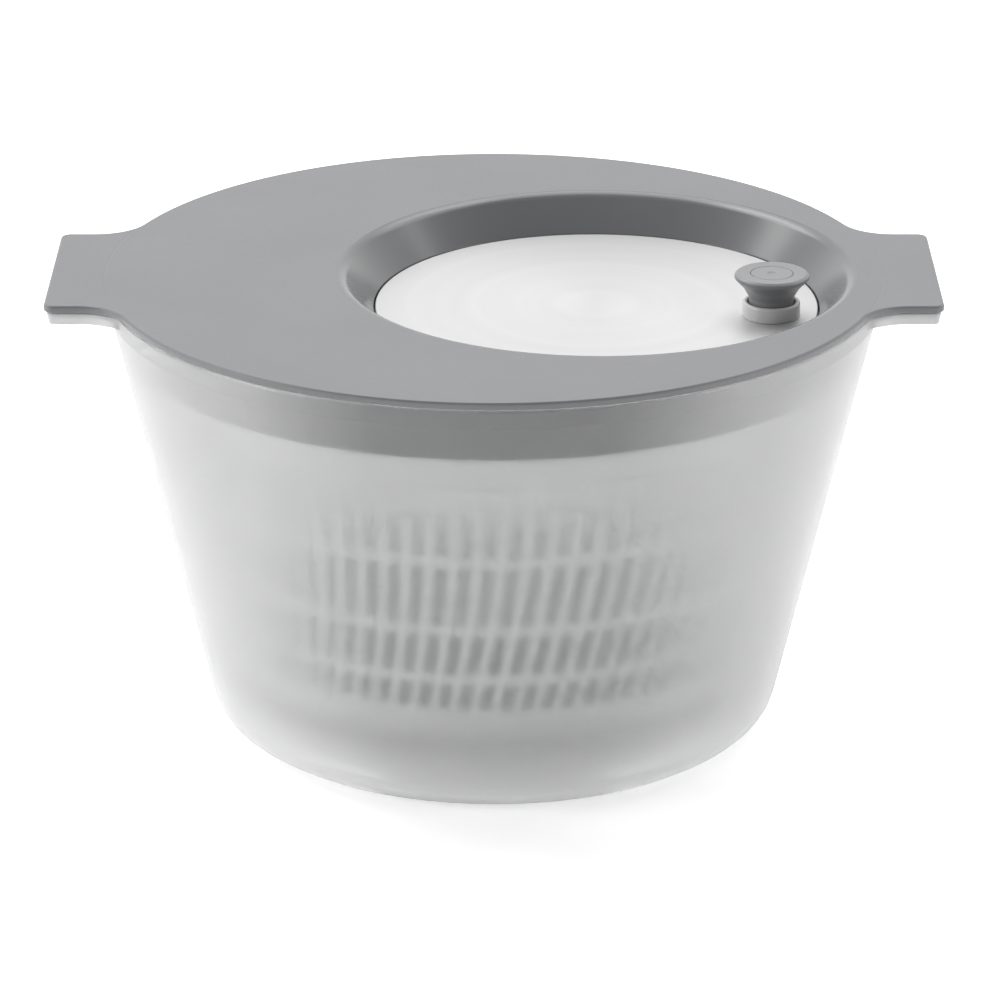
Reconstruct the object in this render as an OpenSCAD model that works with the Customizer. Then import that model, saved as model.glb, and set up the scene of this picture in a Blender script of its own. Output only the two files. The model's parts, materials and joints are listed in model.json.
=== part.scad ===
// Salad spinner with an offset crank disc geared to a slotted basket.
// Millimetres, +Z up. The origin is on the bowl's axis, on the surface it stands on.
// +X points at the ear beside the crank recess.

/* [Lid] */
// Height of the lid's top face
lid_top = 164.4; // [150:0.2:200]
// Diameter of the lid
lid_d = 272.8; // [266:0.2:340]
// Thickness of the lid at its edge
lid_t = 2.6; // [2:0.1:4]
// Length that an ear stands out from the lid's edge
ear_reach = 18.6; // [12:0.2:40]
// Width of an ear
ear_w = 79.8; // [50:0.2:100]
// Corner radius of an ear
ear_corner_r = 3.5; // [1:0.5:8]
// Radius that blends an ear into the lid's edge
ear_blend_r = 18; // [8:1:24]
// Depth of the lid's plug inside the bowl, from the lid's top
plug_depth = 22.4; // [20:0.2:26]
// Number of screws that hold the lid's two shells together
lid_screw_count = 5; // [3:1:6]

/* [Crank] */
// Diameter of the crank disc
disc_d = 155.6; // [128:0.2:164]
// Depth of the disc's face below the lid's top
disc_drop = 12.8; // [10:0.2:15]
// Slope of the recess wall around the disc, in degrees
recess_slope = 50.4; // [45:0.2:70]
// Radius of the rounded lip around the recess
recess_lip_r = 2.5; // [1:0.1:3]
// Distance of the knob's axis from the disc's edge
knob_edge = 15.8; // [14:0.2:24]
// Angle of the knob at rest, in degrees
knob_angle = -11.2; // [-180:0.2:180]

/* [Knob] */
// Diameter of the knob's top
knob_d = 26; // [21:0.5:32]
// Diameter of the knob's neck
knob_neck_d = 15.8; // [15:0.2:19]
// Height of the knob's top above the disc
knob_h = 15.6; // [14.6:0.2:20]
// Thickness of the collar around the neck
collar_t = 1.6; // [1:0.1:3]
// Height of the collar
collar_h = 5.4; // [4:0.1:6]

/* [Gears] */
// Module of the gear pair
gear_module = 1.2; // [1:0.05:1.3]
// Teeth on the wheel under the crank disc
wheel_teeth = 48; // [40:2:52]
// Teeth on the pinion that turns the basket
pinion_teeth = 12; // [12:2:16]
// Width of the teeth along the axis
gear_w = 5.8; // [4:0.1:7]

/* [Bowl] */
// Lean of the bowl's wall from upright, in degrees
wall_lean = 13; // [6:0.5:16]
// Thickness of the bowl's wall
bowl_t = 2.4; // [2:0.1:4]
// Outer radius between the bowl's wall and its base
base_r = 14; // [8:1:20]
// Height of the thicker band at the bowl's rim
rim_band_h = 6.6; // [5:0.2:10]
// Height of the lip under a bowl ear
ear_lip_h = 4.4; // [4:0.1:6]
// Number of curved feet under the bowl
foot_count = 4; // [3:1:6]
// Angle each of these feet covers, in degrees
foot_span = 36; // [20:1:50]

/* [Basket] */
// Space between the outsides of the bowl and the basket
basket_inset = 13; // [11:0.5:20]
// Thickness of the basket's wall
basket_t = 1.8; // [1.4:0.1:2.6]
// Height of the basket's floor above the table
basket_floor = 20; // [18:0.5:30]
// Number of slots around the basket
slot_count = 84; // [24:6:84]
// Width of a slot
slot_w = 4.2; // [2:0.1:4.5]
// Number of keys that the drive plate turns the basket by
key_count = 6; // [3:1:8]

/* [Fits] */
// Radial clearance of a shaft in its bearing
running = 0.05; // [0.01:0.01:0.1]
// Clearance between pieces that are fastened together
seat = 0.05; // [0.02:0.01:0.1]
// Gap between parts that move past each other
gap = 0.6; // [0.4:0.1:0.8]
// Gap between faces that rest on each other
rest = 0.3; // [0.1:0.1:0.4]

/* [Hidden] */
$fn = 96;
eps = 0.01;
blend_steps = 8;

// Lid
lid_r = lid_d / 2;
ear_span = lid_d + 2 * ear_reach;
lid_under = lid_top - lid_t;
plug_bottom = lid_top - plug_depth;
shell_t = 2;
screw_ring_r = lid_r - 18.4;
screw_angles = [for (i = [1:lid_screw_count]) 360 * i / (lid_screw_count + 1)];
boss_r = 4;
lid_screw_r = 1.5;
lid_screw_head_r = 3;
lid_screw_head_h = 1;
lid_screw_l = 11;

// Bowl
bowl_top = lid_under - rest;
bowl_rim_r = lid_r - 0.5;
band_step = 0.9;
ear_inset = 0.8;
ear_wall = 2;
bowl_floor_t = 2.6;
foot_raise = 1.2;
foot_w = 8;
bowl_boss_r = 9;
bowl_boss_top = bowl_floor_t + foot_raise + 8.8;
plug_gap = 1.2;

// Crank stack, from the disc's face downwards
disc_r = disc_d / 2;
knob_throw = disc_r - knob_edge;
disc_top = lid_top - disc_drop;
plate_t = 0.8;
carrier_t = 1.6;
carrier_bottom = disc_top - plate_t - carrier_t;
recess_r = disc_r + gap;
recess_floor = carrier_bottom - gap + 0.1;
recess_under = recess_floor - shell_t;
recess_top_r = recess_r + disc_drop / tan(recess_slope);
hub_r = 7;
bush_wall = 2;
bush_flange = 2.5;
bush_flange_t = 1.2;
bush_sink = 1;
gear_top = recess_under - 1.3;
gear_bottom = gear_top - gear_w;
spigot_w = 8;
washer_t = 0.8;
hub_washer_r = 7;
hub_screw_r = 1.5;
hub_screw_head_r = 4;
hub_screw_head_h = 1.8;
hub_screw_l = 8;

// Gear pair
pressure_angle = 20;
addendum = 0.75 * gear_module;
dedendum = gear_module;
backlash = 0.16;
wheel_r = gear_module * wheel_teeth / 2;
pinion_r = gear_module * pinion_teeth / 2;
crank_x = wheel_r + pinion_r;

// Gear pan under the lid
pan_floor = gear_bottom - washer_t - hub_screw_head_h - gap;
pan_under = pan_floor - shell_t;
pan_wheel_r = wheel_r + addendum + 1.8;
pan_pinion_r = pinion_r + addendum + 3.9;

// Pinion shaft and its bearings
journal_r = 3.3;
shaft_w = 4.6;
top_journal_r = 2;
top_bearing_r = 4.5;
top_bearing_h = 1;
top_bearing_depth = 1.3;
pinion_bush_r = journal_r + running + 2.2;
pinion_bush_flange_t = 1;
bearing_boss_r = 9;
bearing_boss_h = 1.8;
pinion_top = gear_top - 0.2;
pinion_bottom = pan_floor + pinion_bush_flange_t + gap;
bearing_bottom = pan_under - bearing_boss_h;

// Drive plate
drive_hub_r = 12;
drive_hub_h = 7.2;
drive_hub_top = bearing_bottom - rest;
drive_hub_bottom = drive_hub_top - drive_hub_h;
drive_bottom = drive_hub_top - 3.2;
drive_web_t = 1.6;
drive_ring_w = 3;
drive_ring_h = 5;
drive_rib_w = 2;
drive_rib_h = 3.2;
drive_washer_r = 6;
drive_screw_r = 1.25;
drive_screw_head_r = 3.6;
drive_screw_l = 8;

// Basket
basket_top = plug_bottom - 2.5;
basket_floor_t = 2;
basket_rim_h = 2.5;
basket_rim_out = 2.2;
basket_round = 10;
key_w = 6;
key_depth = 4;
key_gap = 0.5;
slots_top = drive_bottom - 3;
slots_bottom = basket_floor + basket_round + 7.5;
hoops = [0, 0.33, 0.635, 0.86];
hoop_h = 4;
swirl = 9;
floor_slots = 24;
floor_slot_from = 26;

// Pivot between the bowl and the basket
pin_r = 2;
pin_foot = bowl_floor_t + foot_raise + 1.4;
cap_bottom = bowl_boss_top + rest;
cap_r = 6.5;
cap_top = basket_floor + 4;
cap_roof = 1.6;
pin_top = cap_top - cap_roof - rest;
basket_hub_r = 11;
basket_hub_bottom = cap_bottom + 1.4;
basket_hub_top = cap_top + rest + 2.4;

// Knob, from the disc's face upwards
knob_r = knob_d / 2;
neck_r = knob_neck_d / 2;
collar_r = neck_r + gap + collar_t;
collar_floor = 1.4;
knob_top = disc_top + knob_h;
knob_bottom = disc_top + collar_floor + 0.4;
web_top = knob_top - 4.7;
axle_r = 3;
axle_head_r = 6;
axle_head_t = 1;
axle_top = web_top + rest;
head_room_r = 6.2;
cap_insert_r = head_room_r + 1.2;
cap_insert_t = 1.1;
knob_washer_r = 5.5;
knob_screw_r = 1.5;
knob_screw_head_r = 4.5;
knob_screw_head_h = 1.6;
knob_screw_l = 7;

// Radius of the bowl's outer wall at height z
function wall_r(z) = bowl_rim_r - band_step - (bowl_top - rim_band_h - z) * tan(wall_lean);

// Radius of the basket's outer wall at height z
function basket_r(z) = wall_r(z) - basket_inset;

// Turn of the slots from their upper end down to height z, in degrees
function swirl_at(z) = let (t = (slots_top - z) / (slots_top - basket_floor)) -swirl * t * t;

function unit(v) = v / norm(v);

// Points of a round of radius r at p, between the legs to a and to b
function corner(a, p, b, r, n = 6) =
    r == 0 ? [p] :
    let (
        ua = unit(a - p),
        ub = unit(b - p),
        half = acos(ua * ub) / 2,
        c = p + unit(ua + ub) * r / sin(half),
        from = p + ua * r / tan(half) - c,
        start = atan2(from.y, from.x),
        side = cross(ua, ub) > 0 ? -1 : 1,
        turn = side * (180 - 2 * half)
    )
    [for (i = [0:n]) c + r * [cos(start + turn * i / n), sin(start + turn * i / n)]];

// An outline from [x, y, radius] corners
function rounded(v) =
    let (
        n = len(v),
        at = [for (p = v) [p.x, p.y]]
    )
    [for (i = [0:n - 1]) each corner(at[(i + n - 1) % n], at[i], at[(i + 1) % n], v[i].z)];

module on_crank_axis() {
    translate([crank_x, 0, 0]) children();
}

module on_knob_axis() {
    on_crank_axis() rotate(knob_angle) translate([knob_throw, 0, 0]) rotate(-knob_angle) children();
}

// Children at a height
module at(z) {
    translate([0, 0, z]) children();
}

module ring(outer, inner, h) {
    difference() {
        cylinder(r = outer, h = h);
        at(-1) cylinder(r = inner, h = h + 2);
    }
}

module square_bar(w, h) {
    translate([-w / 2, -w / 2, 0]) cube([w, w, h]);
}

// A screw with a cross slot, head down, whose head's bearing face is at z = 0
module screw(shank_r, head_r, head_h, length) {
    slot = head_r * 1.1;
    slot_t = head_r * 0.25;
    difference() {
        union() {
            at(-head_h) cylinder(r = head_r, h = head_h);
            cylinder(r = shank_r, h = length);
        }
        for (turn = [0, 90])
            rotate(turn) translate([-slot / 2, -slot_t / 2, -head_h - 1]) cube([slot, slot_t, head_h * 0.5 + 1]);
    }
}

// One ear's outline, out to x, with rounded outer corners
module ear_outline(x, w) {
    polygon(rounded([
        [0, -w / 2, 0], [x, -w / 2, ear_corner_r], [x, w / 2, ear_corner_r], [0, w / 2, 0]
    ]));
}

// The hollow round that leads from a disc of radius r into one side of an ear
module ear_blend(r, w) {
    inner_r = r - eps;
    centre = [sqrt(pow(inner_r + ear_blend_r, 2) - pow(w / 2 + ear_blend_r, 2)), w / 2 + ear_blend_r];
    on_disc = centre * inner_r / (inner_r + ear_blend_r);
    finish = atan2(on_disc.y - centre.y, on_disc.x - centre.x);
    start = -90;
    step = (finish - start) / blend_steps;
    arc = [for (i = [0:blend_steps]) centre + ear_blend_r * [cos(finish - step * i), sin(finish - step * i)]];
    polygon(concat([[centre.x, w / 2 - 1], [on_disc.x - 4, w / 2 - 1]], arc));
}

// A round plate with two ears
module eared_outline(r, span, w) {
    circle(r = r, $fn = 240);
    for (side = [0, 1])
        mirror([side, 0, 0]) {
            ear_outline(span / 2, w);
            for (flank = [0, 1])
                mirror([0, flank, 0]) ear_blend(r, w);
        }
}

// Half the angle of a gear tooth at radius r
function tooth_half(teeth, r) =
    let (
        pitch_r = gear_module * teeth / 2,
        base = pitch_r * cos(pressure_angle),
        lean = acos(min(1, base / max(r, base))),
        thin = backlash / 2 / pitch_r * 180 / PI
    )
    90 / teeth - thin + roll_angle(pressure_angle) - roll_angle(lean);

// The involute's polar angle where its pressure angle is a
function roll_angle(a) = tan(a) * 180 / PI - a;

module gear_outline(teeth) {
    pitch_r = gear_module * teeth / 2;
    root = pitch_r - dedendum;
    tip = pitch_r + addendum;
    steps = 4;
    start = max(root, pitch_r * cos(pressure_angle));
    radii = concat(start > root ? [root] : [], [for (i = [0:steps]) start + (tip - start) * i / steps]);
    last = len(radii) - 1;
    polygon([
        for (k = [0:teeth - 1])
            for (side = [-1, 1])
                for (i = [0:last])
                    let (
                        r = side < 0 ? radii[i] : radii[last - i],
                        a = 360 * k / teeth + side * tooth_half(teeth, r)
                    )
                    r * [cos(a), sin(a)]
    ]);
}

// ---- Bowl ----

module bowl() {
    inner = bowl_t / cos(wall_lean);
    band_z = bowl_top - rim_band_h;
    floor_z = bowl_floor_t + foot_raise;
    flat_r = wall_r(0) - base_r * tan(45 - wall_lean / 2);
    recess = flat_r - foot_w;
    color([0.93, 0.94, 0.95, 0.5])
    difference() {
        union() {
            rotate_extrude($fn = 240) polygon(rounded([
                [0, 0, 0], [wall_r(0), 0, base_r], [wall_r(band_z), band_z, 0],
                [bowl_rim_r, band_z, 0.4], [bowl_rim_r, bowl_top, 0.6], [0, bowl_top, 0]
            ]));
            at(bowl_top - ear_lip_h) linear_extrude(ear_lip_h) bowl_ears(ear_inset);
        }
        at(bowl_top - ear_lip_h - 1) linear_extrude(ear_lip_h - ear_wall + 1) difference() {
            bowl_ears(ear_inset + ear_wall);
            circle(r = bowl_rim_r + 1, $fn = 240);
        }
        rotate_extrude($fn = 240) polygon(rounded([
            [bowl_boss_r, floor_z, 3], [wall_r(floor_z) - inner, floor_z, base_r - bowl_t],
            [wall_r(bowl_top + 1) - inner, bowl_top + 1, 0], [0, bowl_top + 1, 0],
            [0, bowl_boss_top, 0], [bowl_boss_r - 2, bowl_boss_top, 0.8]
        ]));
        at(pin_foot) cylinder(r = pin_r + seat, h = bowl_boss_top);
        at(-1) linear_extrude(1 + foot_raise) difference() {
            circle(r = wall_r(0), $fn = 240);
            bowl_feet(recess);
        }
    }
}

// Outline of the arcs the bowl stands on, from the recess outwards
module bowl_feet(recess) {
    reach = wall_r(0) + 1;
    half = reach * tan(foot_span / 2);
    difference() {
        for (k = [0:foot_count - 1])
            rotate(360 * (k + 0.5) / foot_count)
                polygon([[0, 0], [reach, -half], [reach, half]]);
        circle(r = recess, $fn = 240);
    }
}

// Both ears of the bowl, drawn in by an inset
module bowl_ears(inset) {
    w = ear_w - 2 * inset;
    for (side = [0, 1])
        mirror([side, 0, 0]) difference() {
            union() {
                ear_outline(ear_span / 2 - inset, w);
                for (flank = [0, 1])
                    mirror([0, flank, 0]) ear_blend(bowl_rim_r + ear_inset - inset, w);
            }
            circle(r = bowl_rim_r - 8);
        }
}

module pivot_pin() {
    color("silver") {
        at(pin_foot) cylinder(r = pin_r, h = pin_top - pin_r - pin_foot);
        at(pin_top - pin_r) intersection() {
            sphere(r = pin_r);
            cylinder(r = pin_r, h = pin_r);
        }
    }
}

module pivot_cap() {
    color("whitesmoke")
    difference() {
        at(cap_bottom) cylinder(r = cap_r, h = cap_top - cap_bottom, $fn = 6);
        at(cap_bottom - 1) cylinder(r = pin_r + running, h = cap_top - cap_roof - cap_bottom + 1);
    }
}

// ---- Basket ----

module basket_shell() {
    inner = basket_t / cos(wall_lean);
    floor_z = basket_floor + basket_floor_t;
    step = basket_top - basket_rim_h;
    rotate_extrude($fn = 180) polygon(rounded([
        [0, basket_hub_bottom, 0], [basket_hub_r, basket_hub_bottom, 1], [basket_hub_r, basket_floor, 0],
        [basket_r(basket_floor), basket_floor, basket_round], [basket_r(step), step, 0],
        [basket_r(step) + basket_rim_out, step, 0.6],
        [basket_r(step) + basket_rim_out, basket_top, 1],
        [basket_r(basket_top) - inner, basket_top, 0],
        [basket_r(floor_z) - inner, floor_z, basket_round - basket_t],
        [basket_hub_r, floor_z, 2], [basket_hub_r - 1, basket_hub_top, 1], [0, basket_hub_top, 0]
    ]));
}

module basket_keys() {
    inner = basket_t / cos(wall_lean);
    tip = basket_r(drive_bottom) - inner - key_depth;
    key_top = basket_top - basket_rim_h;
    for (k = [0:key_count - 1])
        rotate(360 * k / key_count + 90 / key_count)
            rotate([90, 0, 0]) linear_extrude(key_w, center = true) polygon([
                [tip, slots_top], [basket_r(slots_top) - inner / 2, slots_top],
                [basket_r(key_top) - inner / 2, key_top], [tip, key_top]
            ]);
}

// One column of slots, each leaning with the swirl
module slot_column() {
    height = slots_top - slots_bottom;
    for (i = [0:len(hoops) - 1]) {
        top = slots_top - hoops[i] * height - (i > 0 ? hoop_h / 2 : 0);
        bottom = i < len(hoops) - 1 ? slots_top - hoops[i + 1] * height + hoop_h / 2 : slots_bottom;
        middle = (top + bottom) / 2;
        r = basket_r(middle);
        across = (swirl_at(top) - swirl_at(bottom)) * PI / 180 * r;
        rotate(swirl_at(middle))
            translate([r, 0, middle])
                rotate([-atan2(across, top - bottom), 0, 0])
                    cube([12, slot_w, top - bottom], center = true);
    }
}

module basket() {
    color("white")
    difference() {
        union() {
            basket_shell();
            basket_keys();
        }
        at(basket_hub_bottom - 1)
            cylinder(r = cap_r + rest, h = cap_top + rest - basket_hub_bottom + 1, $fn = 6);
        for (k = [0:slot_count - 1])
            rotate(360 * k / slot_count) slot_column();
        for (k = [0:floor_slots - 1])
            rotate(360 * (k + 0.5) / floor_slots)
                translate([floor_slot_from, -slot_w / 2, basket_floor - 1])
                    cube([basket_r(basket_floor) - basket_round - floor_slot_from, slot_w, basket_floor_t + 2]);
    }
}

// ---- Lid ----

// The space above the crank disc, with the rounded lip
module recess_void() {
    lip = recess_lip_r * tan(recess_slope / 2);
    rotate_extrude($fn = 240) polygon(concat(
        [[0, recess_floor], [recess_r, recess_floor], [recess_r, disc_top]],
        corner([recess_r, disc_top], [recess_top_r, lid_top], [lid_r, lid_top], recess_lip_r),
        [[recess_top_r + lip, lid_top + 1], [0, lid_top + 1]]
    ));
}

module lid_cover() {
    bearing_r = hub_r + running + bush_wall + seat;
    color([0.62, 0.63, 0.64])
    difference() {
        union() {
            at(lid_under) linear_extrude(lid_t) eared_outline(lid_r, ear_span, ear_w);
            on_crank_axis() rotate_extrude($fn = 240) polygon([
                [0, recess_under], [recess_r + shell_t, recess_under], [recess_r + shell_t, disc_top],
                [recess_top_r + shell_t, lid_top - 1], [0, lid_top - 1]
            ]);
            at(recess_under - top_bearing_h) cylinder(r = top_bearing_r, h = top_bearing_h + 1);
            for (a = screw_angles)
                rotate(a) translate([screw_ring_r, 0, plug_bottom + shell_t])
                    cylinder(r = boss_r, h = lid_under - plug_bottom - shell_t + 1);
        }
        on_crank_axis() {
            recess_void();
            at(recess_under - 1) cylinder(r = bearing_r, h = shell_t + 2);
            at(recess_floor - bush_sink) cylinder(r = bearing_r + bush_flange, h = bush_sink + 1);
        }
        at(recess_under - 2) cylinder(r = top_journal_r + running, h = 2 + top_bearing_depth);
        for (a = screw_angles)
            rotate(a) translate([screw_ring_r, 0, plug_bottom])
                cylinder(r = lid_screw_r + seat, h = lid_screw_l + 2);
    }
}

module lid_base() {
    skirt_top = wall_r(lid_under) - bowl_t / cos(wall_lean) - plug_gap;
    skirt_low = wall_r(plug_bottom) - bowl_t / cos(wall_lean) - plug_gap;
    color([0.58, 0.59, 0.6])
    difference() {
        union() {
            rotate_extrude($fn = 240) polygon([
                [0, plug_bottom], [skirt_low, plug_bottom], [skirt_top, lid_under],
                [skirt_top - shell_t, lid_under], [skirt_low - shell_t, plug_bottom + shell_t],
                [0, plug_bottom + shell_t]
            ]);
            on_crank_axis() at(pan_under) cylinder(r = pan_wheel_r + shell_t, h = plug_bottom + 1 - pan_under);
            at(pan_under) cylinder(r = pan_pinion_r + shell_t, h = plug_bottom + 1 - pan_under);
            at(bearing_bottom) cylinder(r = bearing_boss_r, h = bearing_boss_h + 1);
        }
        on_crank_axis() at(pan_floor) cylinder(r = pan_wheel_r, h = plug_bottom + 3 - pan_floor);
        at(pan_floor) cylinder(r = pan_pinion_r, h = plug_bottom + 3 - pan_floor);
        at(bearing_bottom - 1) cylinder(r = pinion_bush_r + seat, h = bearing_boss_h + shell_t + 2);
        for (a = screw_angles)
            rotate(a) translate([screw_ring_r, 0, plug_bottom - 1]) {
                cylinder(r = lid_screw_r + 2 * seat, h = shell_t + 2);
                cylinder(r = lid_screw_head_r + 4 * seat, h = lid_screw_head_h + 1);
            }
    }
}

module lid_screws() {
    color("silver")
    for (a = screw_angles)
        rotate(a) translate([screw_ring_r, 0, plug_bottom + lid_screw_head_h])
            screw(lid_screw_r, lid_screw_head_r, lid_screw_head_h, lid_screw_l);
}

module disc_bush() {
    bore = hub_r + running;
    bottom = recess_under - 0.8;
    color("ivory")
    on_crank_axis() difference() {
        union() {
            at(bottom) cylinder(r = bore + bush_wall, h = recess_floor - bush_sink - bottom);
            at(recess_floor - bush_sink) cylinder(r = bore + bush_wall + bush_flange - seat, h = bush_flange_t);
        }
        at(bottom - 1) cylinder(r = bore, h = recess_floor - bottom + 3);
    }
}

module pinion_bush() {
    color("ivory")
    difference() {
        union() {
            at(bearing_bottom) cylinder(r = pinion_bush_r, h = pan_floor - bearing_bottom);
            at(pan_floor) cylinder(r = pinion_bush_r + 2, h = pinion_bush_flange_t);
        }
        at(bearing_bottom - 1) cylinder(r = journal_r + running, h = pan_floor - bearing_bottom + 3);
    }
}

// ---- Crank ----

module disc_plate() {
    color([0.9, 0.9, 0.9])
    difference() {
        on_crank_axis() rotate_extrude($fn = 240) polygon([
            [0, disc_top - plate_t], [disc_r, disc_top - plate_t], [disc_r, disc_top - 0.3],
            [disc_r - 0.3, disc_top], [0, disc_top]
        ]);
        on_knob_axis() at(disc_top - plate_t - 1) cylinder(r = axle_r + seat, h = plate_t + 2);
    }
}

module disc_carrier() {
    color([0.5, 0.51, 0.52])
    difference() {
        on_crank_axis() {
            at(carrier_bottom) cylinder(r = disc_r - 0.6, h = carrier_t, $fn = 240);
            at(gear_top) cylinder(r = hub_r, h = carrier_bottom + eps - gear_top);
            at(gear_bottom + rest) square_bar(spigot_w, gear_top - gear_bottom + eps);
        }
        on_crank_axis() at(gear_bottom - 1) cylinder(r = hub_screw_r + seat, h = hub_screw_l + 2);
        on_knob_axis() {
            at(carrier_bottom - 1) cylinder(r = axle_r + seat, h = carrier_t + 2);
            at(carrier_bottom - 1) cylinder(r = axle_head_r + 2 * seat, h = axle_head_t + 1 + seat);
        }
    }
}

module drive_gear() {
    color("ivory")
    on_crank_axis() at(gear_bottom) difference() {
        linear_extrude(gear_w) difference() {
            gear_outline(wheel_teeth);
            square(spigot_w + 2 * seat, center = true);
        }
        for (k = [0:5])
            rotate(60 * k + 30) translate([wheel_r * 0.58, 0, -1])
                cylinder(r = wheel_r * 0.16, h = gear_w + 2);
    }
}

module hub_washer() {
    color("silver")
    on_crank_axis() at(gear_bottom - washer_t) ring(hub_washer_r, hub_screw_r + 2 * seat, washer_t);
}

module hub_screw() {
    color("silver")
    on_crank_axis() at(gear_bottom - washer_t)
        screw(hub_screw_r, hub_screw_head_r, hub_screw_head_h, hub_screw_l);
}

// ---- Knob ----

module knob_collar() {
    color([0.8, 0.8, 0.8])
    on_knob_axis() at(disc_top) rotate_extrude() polygon(rounded([
        [axle_r + seat, 0, 0], [collar_r, 0, 0.4], [collar_r, collar_h, 0.8],
        [neck_r + gap, collar_h, 0.4], [neck_r + gap, collar_floor, 0.4], [axle_r + seat, collar_floor, 0]
    ]));
}

module knob_axle() {
    head_bottom = carrier_bottom + 0.1;
    color("silver")
    on_knob_axis() difference() {
        union() {
            at(head_bottom) cylinder(r = axle_head_r, h = axle_head_t - 0.1);
            at(head_bottom) cylinder(r = axle_r, h = axle_top - head_bottom);
        }
        at(axle_top - knob_screw_l) cylinder(r = knob_screw_r + seat, h = knob_screw_l + 1);
    }
}

module knob_body() {
    bore = axle_r + running;
    seat_z = knob_top - cap_insert_t - 0.2;
    color([0.5, 0.51, 0.53])
    on_knob_axis() rotate_extrude() polygon(rounded([
        [bore, knob_bottom, 0], [neck_r, knob_bottom, 0.5], [neck_r, disc_top + collar_h + 1.6, 3],
        [knob_r * 0.76, knob_top - 5, 6], [knob_r, knob_top - 1.8, 0.5], [knob_r, knob_top - 0.8, 0.6],
        [knob_r - 1, knob_top, 0.8], [cap_insert_r + 0.1, knob_top - 0.2, 0.2],
        [cap_insert_r + 0.1, seat_z, 0], [head_room_r, seat_z, 0],
        [head_room_r, web_top, 0], [bore, web_top, 0]
    ]));
}

module knob_cap() {
    color([0.52, 0.53, 0.55])
    on_knob_axis() at(knob_top - 0.2 - cap_insert_t) rotate_extrude() polygon(rounded([
        [0, 0, 0], [cap_insert_r, 0, 0], [cap_insert_r, cap_insert_t, 0.3],
        [1.8, cap_insert_t, 0.3], [1.2, cap_insert_t - 0.3, 0.1], [0, cap_insert_t - 0.3, 0]
    ]));
}

module knob_washer() {
    color("silver")
    on_knob_axis() at(axle_top) ring(knob_washer_r, knob_screw_r + 2 * seat, washer_t);
}

module knob_screw() {
    color("silver")
    on_knob_axis() at(axle_top + washer_t) mirror([0, 0, 1])
        screw(knob_screw_r, knob_screw_head_r, knob_screw_head_h, knob_screw_l - 0.2);
}

// ---- Drive to the basket ----

module pinion() {
    color("ivory")
    at(pinion_bottom) linear_extrude(pinion_top - pinion_bottom) difference() {
        rotate(180 / pinion_teeth) gear_outline(pinion_teeth);
        square(shaft_w + 2 * seat, center = true);
    }
}

module pinion_shaft() {
    color("silver")
    difference() {
        union() {
            at(pinion_top - eps) cylinder(r = top_journal_r, h = recess_under + top_bearing_depth - rest - pinion_top);
            at(pinion_bottom - eps) square_bar(shaft_w, pinion_top - pinion_bottom + eps);
            at(drive_hub_top) cylinder(r = journal_r, h = pinion_bottom - drive_hub_top);
            at(drive_hub_bottom + rest) square_bar(shaft_w, drive_hub_h - rest + eps);
        }
        at(drive_hub_bottom - 1) cylinder(r = drive_screw_r + seat, h = drive_screw_l + 1);
    }
}

module drive_plate() {
    ring_r = basket_r(drive_bottom) - basket_t / cos(wall_lean) - gap;
    notch = key_depth - gap + key_gap;
    stiff_r = ring_r - notch - 1;
    color([0.7, 0.71, 0.72])
    difference() {
        union() {
            at(drive_hub_bottom) cylinder(r = drive_hub_r, h = drive_hub_h);
            at(drive_bottom) cylinder(r = ring_r, h = drive_web_t, $fn = 240);
            at(drive_bottom) ring(stiff_r, stiff_r - drive_ring_w, drive_ring_h);
            for (k = [0:key_count - 1])
                rotate(360 * k / key_count)
                    translate([drive_hub_r - 2, -drive_rib_w / 2, drive_bottom])
                        cube([stiff_r - drive_hub_r + 1, drive_rib_w, drive_rib_h]);
        }
        at(drive_hub_bottom - 1) square_bar(shaft_w + 2 * seat, drive_hub_h + 2);
        for (k = [0:key_count - 1])
            rotate(360 * k / key_count + 90 / key_count)
                translate([ring_r - notch, -key_w / 2 - key_gap, drive_bottom - 1])
                    cube([notch + 5, key_w + 2 * key_gap, drive_web_t + 2]);
    }
}

module drive_washer() {
    color("silver")
    at(drive_hub_bottom - washer_t) ring(drive_washer_r, drive_screw_r + 2 * seat, washer_t);
}

module drive_screw() {
    color("silver")
    at(drive_hub_bottom - washer_t)
        screw(drive_screw_r, drive_screw_head_r, hub_screw_head_h, drive_screw_l);
}

bowl();
pivot_pin();
pivot_cap();
basket();
lid_cover();
lid_base();
lid_screws();
disc_bush();
pinion_bush();
disc_plate();
disc_carrier();
drive_gear();
hub_washer();
hub_screw();
knob_collar();
knob_axle();
knob_washer();
knob_screw();
knob_body();
knob_cap();
pinion();
pinion_shaft();
drive_plate();
drive_washer();
drive_screw();
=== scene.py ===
import json
import math

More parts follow.
